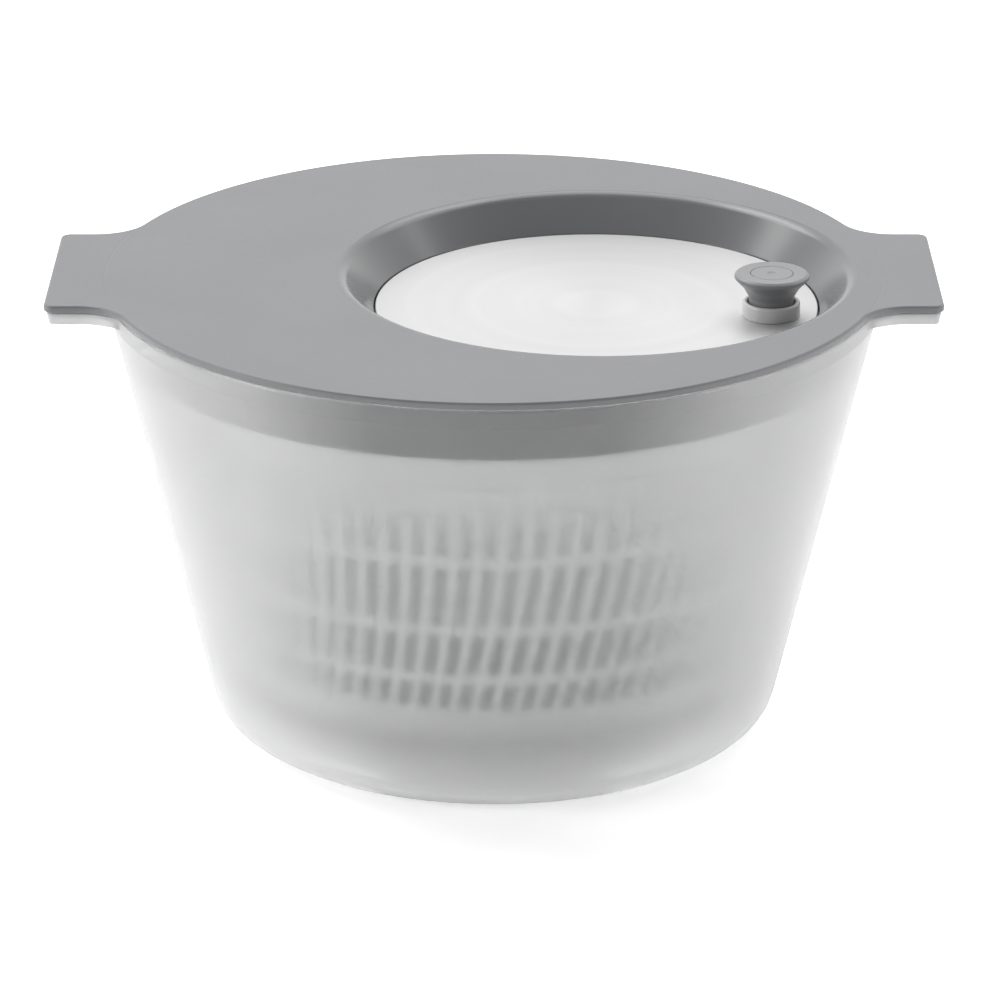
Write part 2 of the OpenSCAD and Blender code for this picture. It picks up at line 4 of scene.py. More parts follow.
import bmesh
import bpy
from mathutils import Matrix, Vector


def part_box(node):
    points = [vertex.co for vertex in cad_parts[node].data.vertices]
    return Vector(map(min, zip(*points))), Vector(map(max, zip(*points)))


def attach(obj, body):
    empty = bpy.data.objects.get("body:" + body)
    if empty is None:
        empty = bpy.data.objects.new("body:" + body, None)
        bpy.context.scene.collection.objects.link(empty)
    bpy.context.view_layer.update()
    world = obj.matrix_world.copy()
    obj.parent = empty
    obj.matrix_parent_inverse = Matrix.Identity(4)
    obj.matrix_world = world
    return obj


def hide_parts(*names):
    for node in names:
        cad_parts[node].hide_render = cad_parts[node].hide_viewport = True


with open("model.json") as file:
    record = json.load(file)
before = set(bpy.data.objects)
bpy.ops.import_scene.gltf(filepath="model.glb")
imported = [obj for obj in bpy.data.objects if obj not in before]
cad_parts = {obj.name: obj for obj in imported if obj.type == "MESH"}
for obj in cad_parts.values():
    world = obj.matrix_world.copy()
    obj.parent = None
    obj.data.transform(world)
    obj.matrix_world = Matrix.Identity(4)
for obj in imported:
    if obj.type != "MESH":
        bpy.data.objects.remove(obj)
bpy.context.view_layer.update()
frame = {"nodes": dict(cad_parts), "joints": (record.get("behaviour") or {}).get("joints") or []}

# Every size below is in millimetres, in the CAD frame. MM turns it into Blender's metres.
MM = 0.001


# ---- Reading the frame ----

def low(node):
    """Lowest corner of a CAD node's box, in millimetres."""
    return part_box(node)[0] / MM


def high(node):
    """Highest corner of a CAD node's box, in millimetres."""
    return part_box(node)[1] / MM


def joint_axis(name):
    """Where a joint's axis stands in plan, in millimetres."""
    place = next(j for j in frame["joints"] if j["name"] == name)["pos_m"]
    return place[0] / MM, place[1] / MM


CRANK_AXIS = joint_axis("crank_spin")
KNOB_AXIS = joint_axis("knob_spin")


# ---- Outlines ----

def rounded(corners, closed=True, steps=5):
    """The outline through (x, y, radius) corners, with a guard point on the flat at each end of a round."""
    points = []
    count = len(corners)
    for i, (x, y, radius) in enumerate(corners):
        here = Vector((x, y))
        if radius == 0 or (not closed and i in (0, count - 1)):
            points.append(here)
            continue
        before = Vector(corners[i - 1][:2]) - here
        after = Vector(corners[(i + 1) % count][:2]) - here
        half = before.angle(after) / 2
        leg = radius / math.tan(half)
        to_before = before.normalized()
        to_after = after.normalized()
        centre = here + (to_before + to_after).normalized() * radius / math.sin(half)
        start = here + to_before * leg - centre
        finish = here + to_after * leg - centre
        turn = start.angle(finish) * (1 if start.cross(finish) > 0 else -1)
        guard = min(0.3, 0.3 * radius, 0.3 * abs(before.length - leg), 0.3 * abs(after.length - leg))
        points.append(here + to_before * (leg + guard))
        for k in range(steps + 1):
            angle = turn * k / steps
            points.append(centre + Vector((
                start.x * math.cos(angle) - start.y * math.sin(angle),
                start.x * math.sin(angle) + start.y * math.cos(angle),
            )))
        points.append(here + to_after * (leg + guard))
    return points


def polar(centre, radius, degrees):
    """A point at an angle round a centre."""
    angle = math.radians(degrees)
    return centre[0] + radius * math.cos(angle), centre[1] + radius * math.sin(angle)


def eared(half_span, half_w, radius, inset, corner, blend=18):
    """A round plate's outline with an ear at each end of X, drawn in by an inset."""
    centre = (math.sqrt((radius + blend) ** 2 - (half_w + blend) ** 2), half_w + blend)
    meet = math.degrees(math.atan2(centre[1], centre[0]))
    corner_x = half_span - corner
    quarter = [(half_span - inset, (half_w - corner) * i / 9) for i in range(10)]
    quarter += [polar((corner_x, half_w - corner), corner - inset, 90 * i / 8) for i in range(1, 9)]
    quarter += [(corner_x + (centre[0] - corner_x) * i / 3, half_w - inset) for i in range(1, 4)]
    quarter += [polar(centre, blend + inset, -90 + (meet - 90) * i / 12) for i in range(1, 13)]
    quarter += [polar((0, 0), radius - inset, meet + (90 - meet) * i / 60) for i in range(1, 61)]
    left = [(-x, y) for x, y in reversed(quarter[:-1])]
    back = [(-x, -y) for x, y in quarter[1:]]
    right = [(x, -y) for x, y in reversed(quarter[1:-1])]
    return quarter + left + back + right


def bearings(outline, centre):
    """The direction of each point of an outline from a centre, in degrees."""
    return [math.degrees(math.atan2(y - centre[1], x - centre[0])) for x, y in outline]


def lifted(outline, z):
    """A flat outline as a loop at height z."""
    return [(x, y, z) for x, y in outline]


def circle(centre, radius, z, angles):
    """A round loop with its points in given directions, or one point where the radius is 0."""
    if radius < 1e-6:
        return [(centre[0], centre[1], z)]
    return [(*polar(centre, radius, a), z) for a in angles]


def even(count):
    """Evenly spread directions."""
    return [360 * i / count for i in range(count)]


# ---- Meshes ----

def bridge(mesh, lower, upper):
    """Faces between two rows of vertices, either of which may be a single point."""
    count = max(len(lower), len(upper))
    for i in range(count):
        j = (i + 1) % count
        if len(lower) == 1:
            mesh.faces.new((lower[0], upper[j], upper[i]))
        elif len(upper) == 1:
            mesh.faces.new((lower[i], lower[j], upper[0]))
        else:
            mesh.faces.new((lower[i], lower[j], upper[j], upper[i]))


def add_loft(mesh, loops, wrap=False):
    """A skin over a row of loops. With wrap, the last joins the first."""
    rows = [[mesh.verts.new(Vector(p) * MM) for p in loop] for loop in loops]
    for lower, upper in zip(rows, rows[1:]):
        bridge(mesh, lower, upper)
    if wrap:
        bridge(mesh, rows[-1], rows[0])


def add_lathe(mesh, profile, centre=(0, 0), segments=96, wrap=False):
    """A (radius, height) profile turned about an upright axis."""
    angles = even(segments)
    add_loft(mesh, [circle(centre, r, z, angles) for r, z in profile], wrap)


def closed_mesh(mesh, name, sharp=35):
    """The finished mesh of closed skins, smooth except where it turns sharply."""
    bmesh.ops.remove_doubles(mesh, verts=mesh.verts, dist=1e-6)
    bmesh.ops.dissolve_degenerate(mesh, edges=mesh.edges, dist=1e-6)
    bmesh.ops.recalc_face_normals(mesh, faces=mesh.faces)
    return smooth_mesh(mesh, name, sharp)


def smooth_mesh(mesh, name, sharp=35):
    """A bmesh as mesh data, smooth except where it turns sharply."""
    data = bpy.data.meshes.new(name)
    mesh.to_mesh(data)
    mesh.free()
    data.shade_smooth()
    data.set_sharp_from_angle(angle=math.radians(sharp))
    return data


def add_piece(name, data, body, materials, nodes):
    """An object of the assembly that stands for CAD nodes."""
    obj = bpy.data.objects.new(name, data)
    bpy.context.scene.collection.objects.link(obj)
    for material in materials:
        data.materials.append(material)
    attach(obj, body)
    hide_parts(*nodes)
    return obj


# ---- Materials ----

class Shader:
    """A Principled material that is built up node by node."""

    def __init__(self, name, **sockets):
        self.material = bpy.data.materials.new(name)
        self.material.use_nodes = True
        self.tree = self.material.node_tree
        self.surface = self.tree.nodes["Principled BSDF"]
        self.place = self.node("ShaderNodeTexCoord").outputs["Object"]
        for socket, value in sockets.items():
            self.surface.inputs[socket.replace("_", " ")].default_value = value

    def node(self, kind, inputs=None, **settings):
        made = self.tree.nodes.new(kind)
        for key, value in settings.items():
            setattr(made, key, value)
        for key, value in (inputs or {}).items():
            if isinstance(value, bpy.types.NodeSocket):
                self.tree.links.new(value, made.inputs[key])
            else:
                made.inputs[key].default_value = value
        return made

    def math(self, operation, a, b=0.0):
        return self.node("ShaderNodeMath", {0: a, 1: b}, operation=operation).outputs[0]

    def noise(self, scale, detail=2.0, place=None):
        inputs = {"Vector": place or self.place, "Scale": scale, "Detail": detail}
        return self.node("ShaderNodeTexNoise", inputs).outputs["Fac"]

    def spread(self, value, start, finish, new_start, new_finish):
        inputs = {0: value, 1: start, 2: finish, 3: new_start, 4: new_finish}
        return self.node("ShaderNodeMapRange", inputs).outputs[0]

    def tint(self, factor, first, second):
        ramp = self.node("ShaderNodeValToRGB", {"Fac": factor})
        ramp.color_ramp.elements[0].color = (*first, 1)
        ramp.color_ramp.elements[1].color = (*second, 1)
        return ramp.outputs["Color"]

    def feed(self, socket, output):
        self.tree.links.new(output, self.surface.inputs[socket])

    def bump(self, height, depth, strength=1.0, before=None):
        inputs = {"Height": height, "Distance": depth * MM, "Strength": strength}
        if before is not None:
            inputs["Normal"] = before
        return self.node("ShaderNodeBump", inputs).outputs["Normal"]


def shades(grey, contrast):
    """Two greys a little apart, for a faintly uneven colour."""
    dark = tuple(c * (1 - contrast) for c in grey)
    light = tuple(min(1, c * (1 + contrast)) for c in grey)
    return dark, light


def moulded(name, grey, roughness, grain=0.02, **sockets):
    """Moulded plastic: a fine grain, and a faint cloudiness from the mould."""
    shader = Shader(name, **sockets)
    cloud = shader.noise(24, 3)
    fine = shader.noise(2600, 3)
    dark, light = shades(grey, 0.025)
    shader.feed("Base Color", shader.tint(shader.spread(cloud, 0.35, 0.65, 0, 1), dark, light))
    shader.feed("Roughness", shader.spread(fine, 0.3, 0.7, roughness - 0.04, roughness + 0.04))
    shader.feed("Normal", shader.bump(fine, grain))
    return shader


def lid_satin():
    """Satin plastic of the lid, with the faint line where its ears join the round part."""
    shader = moulded("lid_satin", (0.145, 0.147, 0.152), 0.44, 0.03)
    axes = shader.node("ShaderNodeSeparateXYZ", {0: shader.place})
    flat = shader.node("ShaderNodeCombineXYZ", {0: axes.outputs["X"], 1: axes.outputs["Y"]})
    reach = shader.node("ShaderNodeVectorMath", {0: flat.outputs[0]}, operation="LENGTH").outputs["Value"]
    away = shader.math("ABSOLUTE", shader.math("SUBTRACT", reach, high("lid_cover").y * MM))
    groove = shader.spread(away, 0.0002, 0.0006, 0, 1)
    fine = shader.noise(2600, 3)
    shader.feed("Normal", shader.bump(groove, 0.12, 0.6, shader.bump(fine, 0.03)))
    return shader.material


def frosted():
    """Milky translucent plastic of the bowl: light passes and is blurred. Its colour is painted greyer
    towards the ears, as shade on the bowl's sides.
    """
    shader = Shader("frosted_plastic", IOR=1.45, Specular_IOR_Level=0.35)
    fine = shader.noise(600, 2)
    axes = shader.node("ShaderNodeSeparateXYZ", {0: shader.place})
    sideways = shader.math("ABSOLUTE", axes.outputs["X"])
    # Painted light: transmission is lowered towards the bottom and the sides, so these parts scatter more and
    # read brighter.
    body = shader.spread(axes.outputs["Z"], 0.012, 0.03, 0.7, 0.94)
    sides = shader.spread(sideways, 0.04, 0.12, 1, 0.76)
    ears = shader.spread(sideways, 0.128, 0.138, 1, 0.5)
    shader.feed("Transmission Weight", shader.math("MULTIPLY", body, shader.math("MULTIPLY", sides, ears)))
    # Painted shade: the base colour turns greyer towards the ears, darkening the bowl's sides.
    edges = shader.spread(sideways, 0.08, 0.135, 0, 1)
    shader.feed("Base Color", shader.tint(edges, (0.9, 0.902, 0.905), (0.6, 0.602, 0.605)))
    shader.feed("Roughness", shader.spread(fine, 0.3, 0.7, 0.31, 0.34))
    return shader.material


def spun_steel():
    """Bright steel with the fine rings that spinning leaves."""
    shader = Shader("spun_steel", Metallic=0.6, Anisotropic=0.25)
    centre = (CRANK_AXIS[0] * MM, CRANK_AXIS[1] * MM, 0)
    local = shader.node("ShaderNodeVectorMath", {0: shader.place, 1: centre}, operation="SUBTRACT")
    axes = shader.node("ShaderNodeSeparateXYZ", {0: local.outputs[0]})
    flat = shader.node("ShaderNodeCombineXYZ", {0: axes.outputs["X"], 1: axes.outputs["Y"]})
    reach = shader.node("ShaderNodeVectorMath", {0: flat.outputs[0]}, operation="LENGTH").outputs["Value"]
    line = shader.node("ShaderNodeCombineXYZ", {0: reach}).outputs[0]
    fine = shader.noise(2400, 2, line)
    broad = shader.noise(130, 3, line)
    lines = shader.math("ADD", shader.math("MULTIPLY", fine, 0.5), shader.math("MULTIPLY", broad, 0.5))
    tone = shader.spread(lines, 0.3, 0.7, 0, 1)
    shader.feed("Base Color", shader.tint(tone, (0.45, 0.45, 0.45), (0.51, 0.51, 0.51)))
    shader.feed("Roughness", shader.spread(lines, 0.3, 0.7, 0.42, 0.52))
    shader.feed("Normal", shader.bump(fine, 0.004, 0.5))
    tangent = shader.node("ShaderNodeTangent", direction_type="RADIAL", axis="Z").outputs[0]
    shader.feed("Tangent", tangent)
    return shader.material


def turned_steel():
    """Plain turned steel of screws, washers and pins."""
    shader = Shader("turned_steel", Metallic=1.0)
    fine = shader.noise(1500, 3)
    shader.feed("Base Color", shader.tint(fine, (0.5, 0.5, 0.51), (0.62, 0.62, 0.63)))
    shader.feed("Roughness", shader.spread(fine, 0.3, 0.7, 0.26, 0.38))
    return shader.material


# ---- Bowl ----

WALL_LEAN = math.tan(math.radians(13))
BOWL_T = 2.4
RIM_BAND = 6.6
BAND_STEP = 0.9
EAR_LIP = 4.4
EAR_WALL = 2
EAR_HALF_W = 39.9
EAR_CORNER = 3.5
BOWL_EAR_HALF_W = 39.1
BOWL_EAR_CORNER = 2.7
BASE_R = 14
# Tangent of half the turn from the flat base into the leaning wall
BASE_TURN = math.tan(math.radians(38.5))
BOWL_FLOOR = 3.8
BOSS_R = 9
BOSS_TOP = 12.6
PIN_HOLE_R = 2.05
PIN_FOOT = 5.2
FEET = 4
FOOT_SPAN = 36
FOOT_W = 8
FOOT_RAISE = 1.2


def bowl_rim_r():
    return high("lid_cover").y - 0.5


def wall_r(z):
    """Outer radius of the bowl's wall at height z."""
    return bowl_rim_r() - BAND_STEP - (high("bowl").z - RIM_BAND - z) * WALL_LEAN


def on_foot(degrees):
    """Whether one of the bowl's curved feet lies in this direction."""
    pitch = 360 / FEET
    return abs(degrees % pitch - pitch / 2) < FOOT_SPAN / 2


def outside_loop(r, z, angles):
    """A loop of the bowl's outside, which hangs below the floor only at the feet."""
    loop = circle((0, 0), r, z, angles)
    return [(x, y, z if on_foot(a) else max(z, FOOT_RAISE)) for (x, y, _), a in zip(loop, angles)]


def bowl_outside():
    """Profile of the bowl's outside, from the middle of its floor over a foot up to its rim band."""
    band = high("bowl").z - RIM_BAND
    foot = wall_r(0) - BASE_R * BASE_TURN - FOOT_W
    return rounded([
        (0, FOOT_RAISE, 0), (foot, FOOT_RAISE, 0), (foot, 0, 0.5), (wall_r(0), 0, BASE_R),
        (wall_r(band), band, 0.3), (bowl_rim_r(), band, 0.4), (bowl_rim_r(), band + 2, 0),
    ], closed=False, steps=6)


def bowl_inside():
    """Profile of the bowl's inside, from its top edge down to the pin's hole."""
    top = high("bowl").z
    thick = BOWL_T / math.cos(math.atan(WALL_LEAN))
    return rounded([
        (wall_r(top) - thick, top, 0), (wall_r(BOWL_FLOOR) - thick, BOWL_FLOOR, BASE_R - BOWL_T),
        (BOSS_R, BOWL_FLOOR, 3), (BOSS_R - 2, BOSS_TOP, 0.8), (PIN_HOLE_R, BOSS_TOP, 0),
        (PIN_HOLE_R, PIN_FOOT, 0), (0, PIN_FOOT, 0),
    ], closed=False, steps=8)


def ear_loops(angles):
    """Loops of the hollow ears and the rim, from the band up to the inner edge of the top."""
    top = high("bowl").z
    half_span = high("bowl").x
    radius = bowl_rim_r()
    bottom = top - EAR_LIP
    lip = eared(half_span, BOWL_EAR_HALF_W, radius, EAR_WALL, BOWL_EAR_CORNER)
    hollow = [math.hypot(x, y) > radius + 1.2 for x, y in lip]
    band = circle((0, 0), radius, bottom, angles)
    root = circle((0, 0), radius + 1, bottom, angles)

    def in_ears(points, z):
        return [(x, y, z) if inside else edge for (x, y), inside, edge in zip(points, hollow, band)]

    loops = [
        band,
        in_ears([p[:2] for p in root], bottom),
        in_ears([p[:2] for p in root], top - EAR_WALL),
        in_ears(lip, top - EAR_WALL),
        in_ears(lip, bottom),
    ]
    # The ears' ends lean in towards the bottom, and both edges are rounded.
    lean = 0.9
    edge = [(lean + 0.8, bottom, 0), (lean, bottom, 0.5), (0, top, 0.7), (2, top, 0)]
    for inset, z in rounded(edge, closed=False, steps=4):
        points = eared(half_span, BOWL_EAR_HALF_W, radius, max(0, inset), BOWL_EAR_CORNER)
        share = [min(1, max(0, (math.hypot(x, y) - radius) / 3)) for x, y in points]
        side = [polar((0, 0), radius - (inset if z > top - 0.8 else 0), a) for a in angles]
        loops.append([
            (p[0] * s + q[0] * (1 - s), p[1] * s + q[1] * (1 - s), z)
            for p, q, s in zip(points, side, share)
        ])
    return loops


def build_bowl():
    outline = eared(high("bowl").x, BOWL_EAR_HALF_W, bowl_rim_r(), 0, BOWL_EAR_CORNER)
    angles = bearings(outline, (0, 0))
    mesh = bmesh.new()
    loops = [outside_loop(r, z, angles) for r, z in bowl_outside()]
    loops += ear_loops(angles)
    loops += [circle((0, 0), r, z, angles) for r, z in bowl_inside()]
    add_loft(mesh, loops)
    data = closed_mesh(mesh, "bowl_shell", 32)
    add_piece("bowl_shell", data, "bowl", [frosted()], ["bowl"])


# ---- Basket ----

BASKET_INSET = 13
BASKET_T = 1.8
BASKET_FLOOR = 20
BASKET_ROUND = 10
SLOTS = 84
SLOT_W = 4.2
FLOOR_SLOTS = 24
# Radii of the floor's rows of points; it is slotted outwards from the third
FLOOR_RADII = (10.5, 18, 26, 40, 60)
HOOPS = (0.33, 0.635, 0.86)
HOOP_H = 4
SWIRL = 9
KEYS = 6
KEY_W = 6
KEY_DEPTH = 4
SLOTS_TOP = 126.1
RIM_H = 2.5
HUB_R = 11
HUB_SOCKET = 6.8


def basket_r(z):
    """Outer radius of the basket's wall at height z."""
    return wall_r(z) - BASKET_INSET


def slot_rows():
    """(height, open) from the lowest slot up to the rim: open at the slots, closed at the hoops."""
    top = SLOTS_TOP
    bottom = BASKET_FLOOR + BASKET_ROUND + 7.5
    height = top - bottom
    edges = [(bottom, True)]
    for share in reversed(HOOPS):
        middle = top - share * height
        edges += [(middle - HOOP_H / 2, False), (middle + HOOP_H / 2, True)]
    return edges + [(top, False)]


def swirl_at(z):
    """How far the slots have swung round the wall at height z, in degrees."""
    share = (SLOTS_TOP - z) / (SLOTS_TOP - BASKET_FLOOR)
    return -SWIRL * share * share if z < SLOTS_TOP else 0


def wall_edges(z):
    """Directions of the slots' sides at height z, two for each slot."""
    half = math.degrees(SLOT_W / 2 / basket_r(z))
    return [360 * k / SLOTS + side * half + swirl_at(z) for k in range(SLOTS) for side in (-1, 1)]


def floor_edges(r):
    """Directions of the floor's points at radius r: each slot's two sides and five on the bar beside it."""
    half = min(6, math.degrees(SLOT_W / 2 / r))
    pitch = 360 / FLOOR_SLOTS
    edges = []
    for k in range(FLOOR_SLOTS):
        middle = pitch * (k + 0.5)
        edges.append(middle - half)
        edges += [middle + half + (pitch - 2 * half) * i / 6 for i in range(6)]
    return edges


def basket_rows():
    """Rows of the basket's outside from its hub to its rim, each with what slots the row above it."""
    flat = basket_r(BASKET_FLOOR) - BASE_TURN * BASKET_ROUND
    slot_end = basket_r(BASKET_FLOOR) - BASKET_ROUND
    states = ("", "", "floor", "floor", "floor", "")
    rows = []
    for r, state in zip((*FLOOR_RADII, slot_end), states):
        rows.append((circle((0, 0), r, BASKET_FLOOR, floor_edges(r)), state))
    shift = floor_edges(flat)
    target = wall_edges(BASKET_FLOOR + BASKET_ROUND)
    offset = min(range(len(target)), key=lambda s: abs((target[s] - shift[0] + 180) % 360 - 180))
    wall_shift = 360 if target[offset] - shift[0] < -180 else 0

    def wall_loop(z):
        edges = wall_edges(z)
        begun = [a + wall_shift for a in edges[offset:]]
        return begun + [a + wall_shift + 360 for a in edges[:offset]]

    foot = (basket_r(BASKET_FLOOR), BASKET_FLOOR, BASKET_ROUND)
    turn = rounded([(flat - 1, BASKET_FLOOR, 0), foot, (basket_r(35), 35, 0)], False, 8)[1:-1]
    for i, (r, z) in enumerate(turn):
        share = (i + 1) / len(turn)
        share = share * share * (3 - 2 * share)
        angles = [a * (1 - share) + b * share for a, b in zip(floor_edges(r), wall_loop(z))]
        rows.append((circle((0, 0), r, z, angles), ""))
    levels = slot_rows()
    top = high("basket").z - RIM_H
    for (z, is_open), above in zip(levels, [z for z, _ in levels[1:]] + [top]):
        steps = 1 if not is_open else max(3, round((above - z) / 5))
        for k in range(steps):
            height = z + (above - z) * k / steps
            loop = circle((0, 0), basket_r(height), height, wall_loop(height))
            rows.append((loop, "wall" if is_open else ""))
    rows.append((circle((0, 0), basket_r(top), top, wall_loop(top)), ""))
    return rows, offset


def add_basket_sheet(mesh):
    """The basket's slotted floor and wall as one open sheet."""
    rows, offset = basket_rows()
    verts = [[mesh.verts.new(Vector(p) * MM) for p in loop] for loop, _ in rows]
    count = len(verts[0])
    for row, (lower, upper) in enumerate(zip(verts, verts[1:])):
        state = rows[row][1]
        for i in range(count):
            j = (i + 1) % count
            if state == "floor" and i % 7 == 0:
                continue
            if state == "wall" and (i + offset) % 2 == 0:
                continue
            mesh.faces.new((lower[i], lower[j], upper[j], upper[i]))


def add_basket_rim(mesh):
    """The thicker rim round the basket's top."""
    top = high("basket").z
    step = top - RIM_H
    inside = BASKET_T / math.cos(math.atan(WALL_LEAN)) + 0.04
    add_lathe(mesh, rounded([
        (basket_r(step) - inside, step - 0.5, 0), (basket_r(step) - 0.1, step - 0.5, 0),
        (basket_r(step) + 0.3, step, 0.2), (basket_r(step) + 2.2, step, 0.6),
        (basket_r(step) + 2.2, top, 1), (basket_r(top) - inside, top, 0.5),
    ]), segments=240, wrap=True)


def hexagon(radius, z, angles):
    """A six-sided loop with its points in given directions."""
    flat = radius * math.cos(math.radians(30))
    return [(*polar((0, 0), flat / math.cos(math.radians((a % 60) - 30)), a), z) for a in angles]


def add_basket_hub(mesh):
    """The hub with its six-sided socket, which sits on the pivot's cap."""
    angles = even(72)
    bottom = low("basket").z
    roof = high("pivot_cap").z + 0.3
    crown = roof + 2.4
    loops = [[(0, 0, roof)], hexagon(HUB_SOCKET, roof, angles), hexagon(HUB_SOCKET, bottom, angles)]
    side = [(8, bottom, 0), (HUB_R, bottom, 1), (HUB_R, BASKET_FLOOR + 2, 1.5), (HUB_R - 1, crown, 1)]
    for r, z in rounded([*side, (0, crown, 0)], closed=False):
        loops.append(circle((0, 0), r, z, angles))
    add_loft(mesh, loops)


def add_basket_keys(mesh):
    """The keys inside the wall that the drive plate turns."""
    thick = BASKET_T / math.cos(math.atan(WALL_LEAN))
    tip = basket_r(low("drive_plate").z + 4) - thick - KEY_DEPTH
    top = high("basket").z - RIM_H - 0.1
    half = KEY_W / 2
    for k in range(KEYS):
        turn = math.radians(360 * k / KEYS + 90 / KEYS)
        along = Vector((math.cos(turn), math.sin(turn), 0))
        across = Vector((-math.sin(turn), math.cos(turn), 0))
        loops = []
        for z in (SLOTS_TOP, top):
            back = basket_r(z) - thick / 2
            shape = rounded([(tip, -half, 0.6), (back, -half, 0), (back, half, 0), (tip, half, 0.6)], steps=3)
            loops.append([along * x + across * y + Vector((0, 0, z)) for x, y in shape])
        ends = [[along * (tip + 2) + Vector((0, 0, z))] for z in (SLOTS_TOP, top)]
        add_loft(mesh, [ends[0], *loops, ends[1]])


def build_basket():
    plastic = moulded("basket_plastic", (0.74, 0.742, 0.745), 0.42).material
    sheet = bmesh.new()
    add_basket_sheet(sheet)
    data = smooth_mesh(sheet, "basket_walls", 30)
    walls = add_piece("basket_walls", data, "basket", [plastic], ["basket"])
    thick = walls.modifiers.new("thickness", "SOLIDIFY")
    thick.thickness = BASKET_T * MM
    thick.offset = -1
    soften = walls.modifiers.new("soft_edges", "BEVEL")
    soften.width = 0.25 * MM
    soften.segments = 2
    soften.limit_method = "ANGLE"
    soften.angle_limit = math.radians(50)
    frame_mesh = bmesh.new()
    add_basket_rim(frame_mesh)
    add_basket_hub(frame_mesh)
    add_basket_keys(frame_mesh)
    data = closed_mesh(frame_mesh, "basket_frame")
    add_piece("basket_frame", data, "basket", [plastic], ["basket"])


# ---- Lid ----

LID_T = 2.6
RECESS_SLOPE = math.radians(50.4)
SHELL_T = 2
BUSH_BORE = 9.1
POSTS = 5
POST_R = 4
POST_HOLE_R = 1.55
POST_FOOT = 144


def lid_ears(inset, z):
    return lifted(eared(high("lid_cover").x, EAR_HALF_W, high("lid_cover").y, inset, EAR_CORNER), z)


def recess_profile():
    """The recess from the lip on the lid's top down to the bearing's bore, then back out under it."""
    top = high("lid_cover").z
    under = top - LID_T
    disc_top = high("disc_plate").z
    recess_r = high("disc_plate").x - CRANK_AXIS[0] + 0.6
    floor = high("disc_plate").z - 2.9
    lip_r = recess_r + (top - disc_top) / math.tan(RECESS_SLOPE)
    outer = lip_r + SHELL_T - (top - 1 - under) / math.tan(RECESS_SLOPE)
    seat = BUSH_BORE + 2.5
    return rounded([
        (lip_r + 6, top, 0), (lip_r, top, 5), (recess_r, disc_top, 0.5), (recess_r, floor, 0.4),
        (seat, floor, 0.2), (seat, floor - 1, 0), (BUSH_BORE, floor - 1, 0), (BUSH_BORE, floor - SHELL_T, 0),
        (recess_r + SHELL_T, floor - SHELL_T, 0.8), (recess_r + SHELL_T, disc_top, 0), (outer, under, 0),
    ], closed=False, steps=7)


def build_lid():
    top = high("lid_cover").z
    under = top - LID_T
    outline = eared(high("lid_cover").x, EAR_HALF_W, high("lid_cover").y, 0, EAR_CORNER)
    angles = bearings(outline, CRANK_AXIS)
    edge = rounded([(3, under, 0), (0, under, 0.5), (0, top, 0.9), (3, top, 0)], False, 5)
    loops = [lid_ears(inset, z) for inset, z in edge[1:-1]]
    loops += [circle(CRANK_AXIS, r, z, angles) for r, z in recess_profile()]
    mesh = bmesh.new()
    add_loft(mesh, loops, wrap=True)
    add_lid_bosses(mesh)
    data = closed_mesh(mesh, "lid_shell")
    # Faces inside the lip below the top take the recess material: the lid's plastic made glossier and a
    # darker grey, the darker grey being painted shade in the recess.
    lip = high("disc_plate").x - CRANK_AXIS[0] + 13.6
    for face in data.polygons:
        place = face.center / MM
        away = math.hypot(place.x - CRANK_AXIS[0], place.y - CRANK_AXIS[1])
        face.material_index = int(away < lip and place.z < top - 0.02)
    # Painted shade: a darker grey than the lid's satin plastic.
    recess = moulded("lid_recess_shade", (0.13, 0.132, 0.136), 0.22, 0.01).material
    add_piece("lid_shell", data, "lid", [lid_satin(), recess], ["lid_cover"])


def add_lid_bosses(mesh):
    """The posts under the lid that its screws hold."""
    ring = high("lid_cover").y - 18.4
    top = high("lid_cover").z - LID_T + 0.2
    post = [(POST_R, POST_FOOT), (POST_R, top), (POST_HOLE_R, top), (POST_HOLE_R, POST_FOOT)]
    for k in range(POSTS):
        centre = polar((0, 0), ring, 360 / (POSTS + 1) * (k + 1))
        add_lathe(mesh, post, centre, 48, True)


# ---- Crank and knob ----

AXLE_HOLE_R = 3.05
COLLAR_T = 1.6
COLLAR_FLOOR = 1.4
KNOB_NECK_R = 7.9
CAP_SEAT_R = 7.5
CAP_R = 7.4
KNOB_BORE_R = 6.2


def build_disc():
    top = high("disc_plate").z
    bottom = low("disc_plate").z
    radius = high("disc_plate").x - CRANK_AXIS[0]
    mesh = bmesh.new()
    side = rounded([(0, bottom, 0), (radius, bottom, 0.15), (radius, top, 0.35), (0, top, 0)], False)
    add_lathe(mesh, side, CRANK_AXIS, 240)
    data = closed_mesh(mesh, "disc_face")
    add_piece("disc_face", data, "crank", [spun_steel()], ["disc_plate"])


def build_collar():
    bottom = low("knob_collar").z
    top = high("knob_collar").z
    outer = high("knob_collar").x - KNOB_AXIS[0]
    inner = outer - COLLAR_T
    floor = bottom + COLLAR_FLOOR
    mesh = bmesh.new()
    add_lathe(mesh, rounded([
        (AXLE_HOLE_R, bottom, 0), (outer, bottom, 0.3), (outer, top, 0.8), (inner, top, 0.5),
        (inner, floor, 0.3), (AXLE_HOLE_R, floor, 0),
    ]), KNOB_AXIS, 120, True)
    pale = moulded("collar_plastic", (0.5, 0.5, 0.5), 0.3).material
    add_piece("knob_ring", closed_mesh(mesh, "knob_ring"), "crank", [pale], ["knob_collar"])


